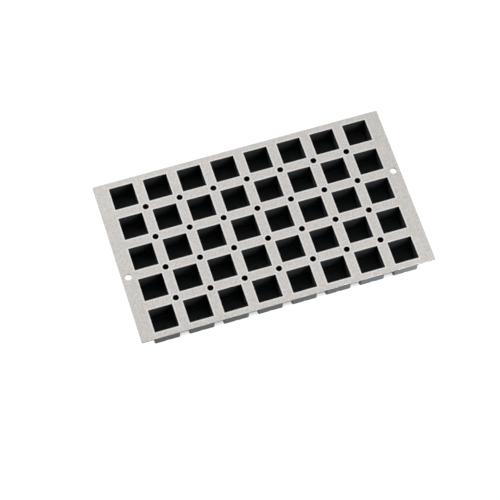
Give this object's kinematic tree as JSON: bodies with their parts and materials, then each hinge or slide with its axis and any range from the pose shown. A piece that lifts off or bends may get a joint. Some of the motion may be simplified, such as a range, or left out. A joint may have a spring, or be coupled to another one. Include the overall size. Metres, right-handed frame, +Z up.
{
  "type": "plug tray",
  "caption": "Flat plug tray: a pale skin on a dark deck plate with a grid of square black cells beneath, air holes between the cells and a locating hole in each end margin.",
  "frame": {"origin": "centre of the footprint, on the surface the tray stands on", "axes": "+X along the long side of the deck, +Y towards the back row, +Z up out of the wells"},
  "size_m": [0.53, 0.31, 0.045],
  "materials": {
    "deck_plate": "satin",
    "deck_skin": "satin",
    "cell": "gloss"
  },
  "bodies": {
    "root": {"deck_plate": "deck_plate", "deck_skin": "deck_skin", "cell_r1_c1": "cell", "cell_r1_c2": "cell", "cell_r1_c3": "cell", "cell_r1_c4": "cell", "cell_r1_c5": "cell", "cell_r1_c6": "cell", "cell_r1_c7": "cell", "cell_r1_c8": "cell", "cell_r2_c1": "cell", "cell_r2_c2": "cell", "cell_r2_c3": "cell", "cell_r2_c4": "cell", "cell_r2_c5": "cell", "cell_r2_c6": "cell", "cell_r2_c7": "cell", "cell_r2_c8": "cell", "cell_r3_c1": "cell", "cell_r3_c2": "cell", "cell_r3_c3": "cell", "cell_r3_c4": "cell", "cell_r3_c5": "cell", "cell_r3_c6": "cell", "cell_r3_c7": "cell", "cell_r3_c8": "cell", "cell_r4_c1": "cell", "cell_r4_c2": "cell", "cell_r4_c3": "cell", "cell_r4_c4": "cell", "cell_r4_c5": "cell", "cell_r4_c6": "cell", "cell_r4_c7": "cell", "cell_r4_c8": "cell", "cell_r5_c1": "cell", "cell_r5_c2": "cell", "cell_r5_c3": "cell", "cell_r5_c4": "cell", "cell_r5_c5": "cell", "cell_r5_c6": "cell", "cell_r5_c7": "cell", "cell_r5_c8": "cell"}
  },
  "joints": []
}
